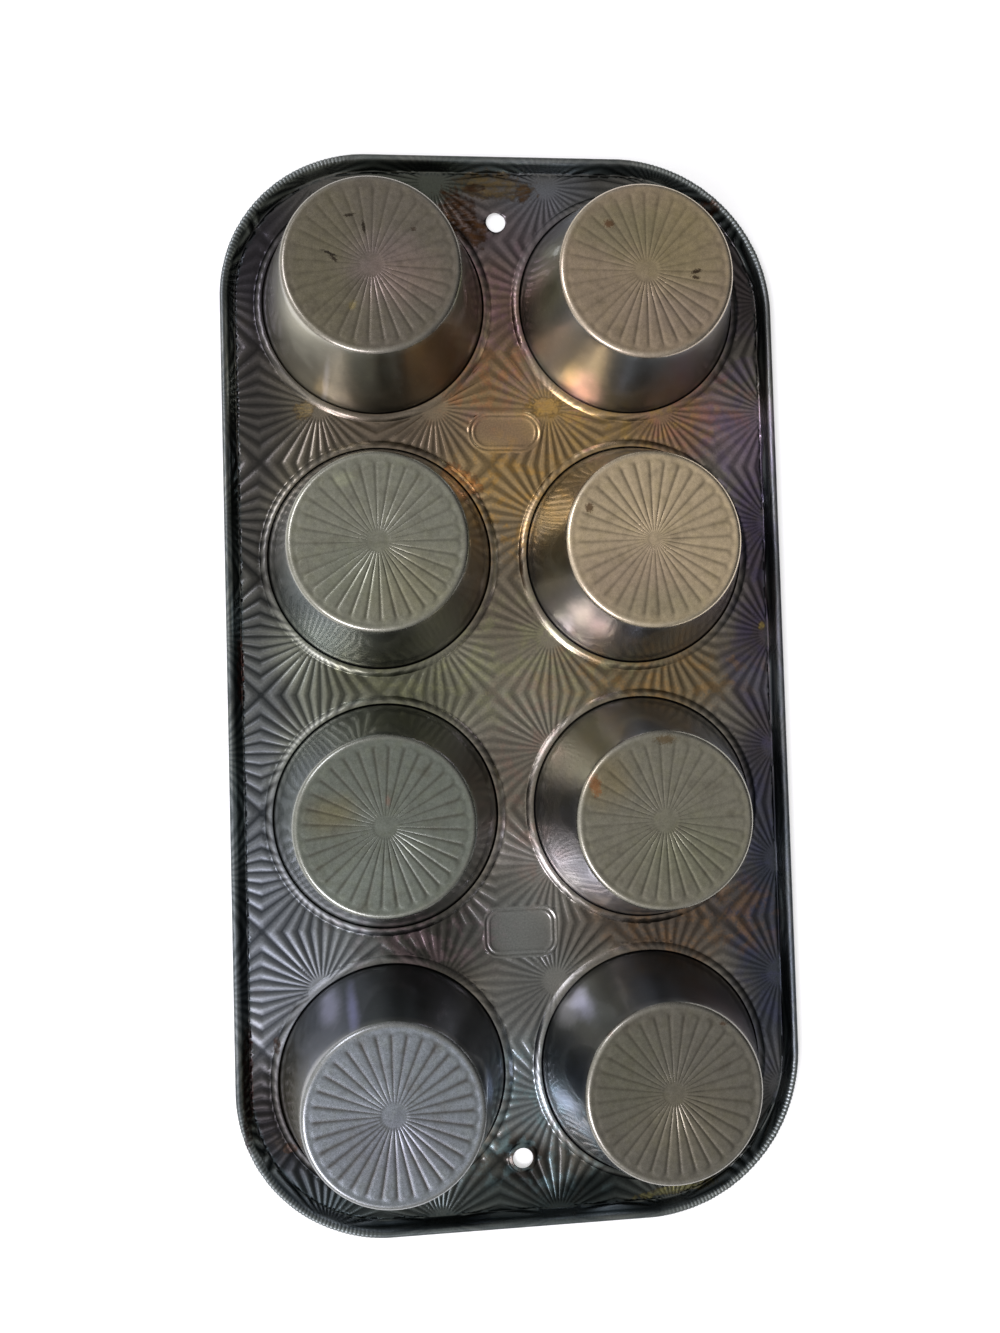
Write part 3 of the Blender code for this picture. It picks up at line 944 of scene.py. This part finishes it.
def build_cup(name, material):
    centre = cup_centre(name)
    lean_x, lean_y, phase, relief, stronger, soft, start = CUP_SHAPES[name]
    soft, start = soft * MM, start * MM
    profile = cup_profile()
    shares = np.array(FLUTE_SHARES)
    share = np.tile(shares, FLUTES)
    turn = (np.repeat(np.arange(FLUTES), len(shares)) + share) * 2 * math.pi / FLUTES
    angles = math.radians(phase) + turn
    relief = relief * (1 + PETAL_LEAN * np.cos(angles - math.radians(stronger)))
    rows = []
    gaps = []
    edges = []
    for radius, height in profile:
        drop = gap = np.zeros(len(angles))
        if height > CUP_HEIGHT - THICKNESS:
            drop, gap = end_shape(radius, share, relief, soft, start)
        tilt = height / CUP_HEIGHT
        x = centre[0] + radius * np.cos(angles) + lean_x * MM * tilt
        y = centre[1] + radius * np.sin(angles) + lean_y * MM * tilt
        rows.append(np.column_stack([x, y, height - drop]))
        gaps.append(gap)
        rounded = smoothstep(END_FLAT_RADIUS, END_FLAT_RADIUS + 1 * MM, radius)
        edge = rounded * smoothstep(*END_EDGE_HEIGHTS, height)
        edges.append(np.full(len(angles), edge))
    faces = strip_faces(len(profile), CUP_SEGMENTS)
    middle = np.array([[centre[0] + lean_x * MM, centre[1] + lean_y * MM, profile[0][1] - END_DISH]])
    vertices = np.concatenate(rows + [middle])
    hub = len(vertices) - 1
    for column in range(CUP_SEGMENTS):
        faces.append((hub, (column + 1) % CUP_SEGMENTS, column))
    marks = {
        "gap": np.concatenate(gaps + [[0]]),
        "edge": np.concatenate(edges + [[0]]),
    }
    piece = make_piece(f"{name}_fluted", vertices, faces, marks, material, name)
    weld(piece, FINE_WELD)
    add_thickness(piece)


# Finishes

def colour(red, green, blue):
    # A colour as the photograph shows it, 0 to 255, in the linear values that shaders use.
    shares = (channel / 255 for channel in (red, green, blue))
    linear = (s / 12.92 if s <= 0.04045 else ((s + 0.055) / 1.055) ** 2.4 for s in shares)
    return tuple(min(1, value * TIN_GAIN) for value in linear)


def feed(tree, socket, value):
    # Links a socket from another one, or sets its value.
    if isinstance(value, bpy.types.NodeSocket):
        tree.links.new(value, socket)
    elif socket.type == "RGBA":
        socket.default_value = (*value, 1)
    else:
        socket.default_value = value


def add_node(tree, kind, inputs, **settings):
    node = tree.nodes.new(f"ShaderNode{kind}")
    for name, value in settings.items():
        setattr(node, name, value)
    for key, value in inputs.items():
        feed(tree, node.inputs[key], value)
    return node


class Finish:
    # One material and its tone so far; most methods add a node and return its socket.

    def __init__(self, name):
        self.material = bpy.data.materials.new(name)
        self.material.use_nodes = True
        self.tree = self.material.node_tree
        self.shader = self.tree.nodes["Principled BSDF"]
        place = self.node("TexCoord", {}).outputs["Object"]
        in_mm = self.node("VectorMath", {0: place, 1: (1 / MM,) * 3}, operation="MULTIPLY")
        self.place = in_mm.outputs[0]
        self.tone = None

    def node(self, kind, inputs, **settings):
        return add_node(self.tree, kind, inputs, **settings)

    def set(self, name, value):
        feed(self.tree, self.shader.inputs[name], value)

    def maths(self, operation, first, second):
        return self.node("Math", {0: first, 1: second}, operation=operation).outputs[0]

    def times(self, first, second):
        return self.maths("MULTIPLY", first, second)

    def plus(self, first, second):
        return self.maths("ADD", first, second)

    def less(self, first, second):
        return self.maths("SUBTRACT", first, second)

    def mark(self, name, output="Fac"):
        return self.node("Attribute", {}, attribute_name=name).outputs[output]

    def framed(self, location, turn, size):
        # The place as seen from a frame with this location, turn and size.
        inputs = {
            "Vector": self.place,
            "Location": location,
            "Rotation": (0, 0, math.radians(turn)),
            "Scale": size,
        }
        return self.node("Mapping", inputs, vector_type="TEXTURE").outputs["Vector"]

    def noise(self, size, detail=3, rough=0.5, stretch=(1, 1, 1), turn=0, shift=0):
        # size is that of one blob in millimetres; stretch lengthens it along X, Y and Z.
        scale = tuple(size * share for share in stretch)
        place = self.framed((shift, shift * 1.7, shift * 0.3), turn, scale)
        inputs = {"Vector": place, "Scale": 1, "Detail": detail, "Roughness": rough}
        return self.node("TexNoise", inputs).outputs["Fac"]

    def torn(self, cloud, strength):
        # A noise as shifts to both sides, which break up the edge of a patch.
        return self.times(self.less(cloud, 0.5), strength)

    def between(self, value, low, high, from_value=0, to_value=1):
        inputs = {0: value, 1: low, 2: high, 3: from_value, 4: to_value}
        return self.node("MapRange", inputs, interpolation_type="SMOOTHSTEP").outputs["Result"]

    def blend(self, share, first, second, kind="MIX"):
        inputs = {0: share, 6: first, 7: second}
        return self.node("Mix", inputs, data_type="RGBA", blend_type=kind).outputs[2]

    def cover(self, mask, tint):
        self.tone = self.blend(mask, self.tone, colour(*tint))

    def shade(self, factor, share=1):
        self.tone = self.blend(share, self.tone, factor, "MULTIPLY")

    def patch(self, ragged, soft, centre, half, strength=1, turn=0):
        # A mask: strength in the middle, and a soft edge that ragged, a noise, breaks up.
        place = self.framed((*centre, 0), turn, (*half, ANY_HEIGHT))
        distance = self.node("VectorMath", {0: place}, operation="LENGTH").outputs["Value"]
        return self.between(self.plus(distance, ragged), 1 - soft, 1 + soft, strength, 0)

    def cover_patches(self, patches, ragged, soft, where):
        # Tinted patches over the tone, only where the mask is 1.
        for centre, half, tint, strength, *turn in patches:
            mask = self.patch(ragged, soft, centre, half, strength, *turn)
            self.cover(self.times(mask, where), tint)

    def bump(self, height, strength, distance):
        inputs = {"Height": height, "Strength": strength, "Distance": distance}
        self.set("Normal", self.node("Bump", inputs).outputs["Normal"])

    def scratches(self, turns, length, width, share):
        # Thin short lines in a few directions: 1 on a scratch, 0 elsewhere.
        found = 0
        for index, turn in enumerate(turns):
            lines = self.noise(width, 1, 0.4, (length / width, 1, 1), turn, 37 * index)
            found = self.maths("MAXIMUM", found, self.between(lines, 1 - share, 1 - share + 0.04))
        return found


def sheet_finish():
    tin = Finish("embossed_aged_tin")
    broad = tin.noise(34, 3)
    cloud = tin.noise(9, 4, 0.6, shift=11)
    grain = tin.noise(0.55, 3, 0.7, shift=5)
    ragged = tin.torn(cloud, 1.6)
    edge = tin.mark("edge")
    rim = tin.mark("rim")

    # Heat tints over the tints of the points
    tin.tone = tin.mark("tint", "Color")
    tin.shade(tin.between(broad, 0.3, 0.7, 0.9, 1.1))
    for index, (centre, half, tint, size, strength) in enumerate(HEAT_COLOURS):
        blobs = tin.noise(size, 4, 0.65, shift=23 + 7 * index)
        mask = tin.patch(ragged, HEAT_SOFTNESS, centre, half, strength)
        tin.cover(tin.times(mask, tin.between(blobs, 0.46, 0.62)), tint)

    # Painted shade in the grooves and on the rim wall, worn edges, painted highlights on the rim
    # Painted shade: the grooves between the rays darkened
    tin.shade(GROOVE_PAINTED_SHADE, tin.mark("groove"))
    # Painted shade: the rim's bend and wall darkened, apart from its worn curl
    wall = tin.times(rim, tin.less(1, edge))
    tin.cover(tin.times(wall, 0.85), RIM_WALL_SHADE)
    worn = tin.blend(rim, colour(*WORN_RING), colour(*WORN_CURL))
    tin.tone = tin.blend(tin.times(edge, 0.4), tin.tone, worn)
    # Painted highlights along the rim's rays and corner wrinkles
    tin.cover(tin.times(tin.times(tin.mark("comb_highlight"), rim), 0.7), RIM_COMB_HIGHLIGHT)

    # Stains with dark borders, grime and speckle
    torn = tin.torn(tin.noise(2.6, 5, 0.7, shift=61), 2.6)
    streaks = tin.noise(1.1, 3, 0.6, (3, 1, 1), 0, 71)
    streaks = tin.between(streaks, 0.35, 0.6, 0.3, 1)
    for centre, half, tint, strength, *turn in SHEET_STAINS:
        mask = tin.patch(torn, STAIN_SOFTNESS, centre, half, 1, *turn)
        border = tin.times(mask, tin.less(1, mask))
        tin.cover(tin.times(border, 2), STAIN_BORDER)
        tin.cover(tin.times(tin.times(mask, streaks), strength), tint)
    tin.cover(tin.between(cloud, 0.55, 0.78, 0, 0.3), SHEET_GRIME)
    tin.shade(tin.between(grain, 0.3, 0.7, 0.84, 1.14))
    tin.set("Base Color", tin.tone)

    tin.set("Metallic", 1)
    rough = tin.between(cloud, 0.3, 0.75, 0.18, 0.28)
    rough = tin.plus(rough, tin.patch(ragged, DULL_SOFTNESS, *DULL_SIDE))
    tin.set("Roughness", tin.plus(rough, tin.times(edge, 0.16)))
    scuffs = tin.scratches((20, 75, 140), 9, 0.25, 0.30)
    tin.bump(tin.less(grain, scuffs), 0.12, 0.03 * MM)
    return tin.material


def cup_finish(name):
    end, wall, gap_shade, end_tints, wall_tints_and_painted_light, marks = CUP_LOOKS[name]
    tin = Finish(f"{name}_aged_tin")
    cloud = tin.noise(7, 4, 0.6, shift=3)
    grain = tin.noise(0.5, 3, 0.75, shift=9)
    ragged = tin.torn(cloud, 1.2)
    edge = tin.mark("edge")
    height = tin.node("SeparateXYZ", {0: tin.place}).outputs["Z"]
    on_end = tin.between(height, 28.6, 29.4)
    on_wall = tin.less(1, on_end)

    # Tints, the wall's mostly painted light, shade and reflections, then blotches and olive spots on
    # the end, painted shade darkening the wall toward its foot at the sheet, and scuffs on the wall
    tin.tone = tin.blend(on_end, colour(*wall), colour(*end))
    tin.cover_patches(end_tints, ragged, TINT_SOFTNESS, on_end)
    # The wall's tints: mostly painted light and shade, lighter toward the windows and darker on the far
    # sides, with pale lavender painted reflections of the windows
    tin.cover_patches(wall_tints_and_painted_light, ragged, WALL_SOFTNESS, on_wall)
    tin.cover(tin.times(tin.between(cloud, 0.5, 0.8, 0, 0.4), on_end), CUP_GRIME)
    olive = tin.between(tin.noise(4, 4, 0.7, shift=31), 0.45, 0.7, 0, 0.3)
    tin.shade(OLIVE_SHADE, tin.times(olive, on_end))
    # Painted shade: the wall darkens toward its foot, where it meets the sheet
    tin.shade(tin.between(height, 0.4, 5, 0.42, 1))
    scuffs = tin.noise(1.6, 3, 0.6, (1, 1, 0.35), 0, 47)
    tin.shade(SCUFF_SHADE, tin.times(tin.between(scuffs, 0.58, 0.74, 0, 0.35), on_wall))

    # Small marks, painted shade in the gaps, worn edge and speckle
    tin.cover_patches(marks, tin.torn(grain, 3), CUP_MARK_SOFTNESS, on_end)
    # Painted shade: the gaps between the petals darkened
    tin.cover(tin.times(tin.mark("gap"), gap_shade), GAP_SHADE_TONE)
    tin.cover(tin.times(edge, 0.25), WORN_CUP_EDGE)
    speckle = tin.between(grain, 0.3, 0.7, 0.92, 1.07)
    smear = tin.between(tin.noise(1.8, 4, 0.65, shift=53), 0.3, 0.7, 0.9, 1.1)
    tin.shade(tin.blend(on_end, (1, 1, 1), tin.times(speckle, smear)))
    tin.set("Base Color", tin.tone)

    tin.set("Metallic", 1)
    satin = tin.times(tin.between(grain, 0.3, 0.7, 0.24, 0.34), on_end)
    smooth = tin.times(tin.between(cloud, 0.3, 0.8, 0.32, 0.40), on_wall)
    tin.set("Roughness", tin.plus(satin, smooth))
    tin.set("Coat Weight", tin.times(on_wall, WALL_SHEEN))
    tin.set("Coat Roughness", WALL_SHEEN_ROUGHNESS)
    grainy = tin.times(on_end, tin.less(1, edge))
    tin.bump(tin.times(grain, tin.plus(grainy, 0.15)), 0.16, 0.05 * MM)
    return tin.material


def wire_finish():
    finish = Finish("dull_wire")
    cloud = finish.noise(4, 4, 0.6)
    rust = finish.between(cloud, 0.35, 0.7)
    finish.set("Base Color", finish.blend(rust, colour(*WIRE_STEEL), colour(*WIRE_RUST)))
    finish.set("Metallic", 1)
    finish.set("Roughness", finish.between(cloud, 0.3, 0.7, 0.35, 0.6))
    finish.bump(cloud, 0.3, 0.05 * MM)
    return finish.material


def floor_finish():
    finish = Finish("pale_floor")
    finish.set("Base Color", FLOOR_COLOUR)
    finish.set("Roughness", FLOOR_ROUGHNESS)
    finish.set("Emission Color", (1, 1, 1))
    path = finish.node("LightPath", {}).outputs
    seen = finish.maths("MAXIMUM", path["Is Camera Ray"], path["Is Glossy Ray"])
    finish.set("Emission Strength", finish.times(seen, FLOOR_GLOW))
    return finish.material


# Scene

def build_floor():
    mesh = bpy.data.meshes.new("floor")
    corners = [(side_x * FLOOR_HALF_SIZE, side_y * FLOOR_HALF_SIZE, 0) for side_x, side_y in QUARTERS]
    mesh.from_pydata(corners, [], [(0, 1, 2, 3)])
    mesh.materials.append(floor_finish())
    floor = bpy.data.objects.new("floor", mesh)
    floor.location.z = -FLOOR_DROP
    bpy.context.scene.collection.objects.link(floor)


def add_lamp(name, place, size, power, tint):
    data = bpy.data.lights.new(name, "AREA")
    data.shape = "RECTANGLE"
    data.size, data.size_y = size
    data.energy = power
    data.color = tint
    lamp = bpy.data.objects.new(name, data)
    lamp.location = place
    lamp.rotation_mode = "QUATERNION"
    lamp.rotation_quaternion = Vector(place).to_track_quat("Z", "Y")
    bpy.context.scene.collection.objects.link(lamp)


def build_world():
    # A dim ceiling that is brighter overhead and toward the windows.
    world = bpy.data.worlds.new("studio")
    world.use_nodes = True
    tree = world.node_tree
    direction = add_node(tree, "TexCoord", {}).outputs["Generated"]
    height = add_node(tree, "SeparateXYZ", {0: direction}).outputs["Z"]
    ramp = add_node(tree, "ValToRGB", {0: height})
    for element, (position, tone) in zip(ramp.color_ramp.elements, CEILING):
        element.position = position
        element.color = (*tone, 1)
    toward = add_node(tree, "VectorMath", {0: direction, 1: CEILING_TOWARD}, operation="DOT_PRODUCT")
    level = add_node(tree, "Math", {0: toward.outputs["Value"], 1: 1}, operation="ADD")
    background = tree.nodes["Background"]
    feed(tree, background.inputs["Color"], ramp.outputs[0])
    feed(tree, background.inputs["Strength"], level.outputs[0])
    bpy.context.scene.world = world


def build_camera():
    data = bpy.data.cameras.new("camera")
    data.lens = CAMERA_LENS
    data.sensor_width = CAMERA_SENSOR
    data.clip_start = CAMERA_CLIP_START
    camera = bpy.data.objects.new("camera", data)
    camera.location = CAMERA_LOCATION
    camera.rotation_euler = CAMERA_TURN
    bpy.context.scene.collection.objects.link(camera)
    bpy.context.scene.camera = camera


def main():
    build_camera()
    build_floor()
    build_world()
    for lamp in LAMPS:
        add_lamp(*lamp)
    bpy.context.scene.view_settings.view_transform = "Standard"
    build_sheet(sheet_finish())
    build_rim_wire(wire_finish())
    for name in CUP_NAMES:
        build_cup(name, cup_finish(name))


main()
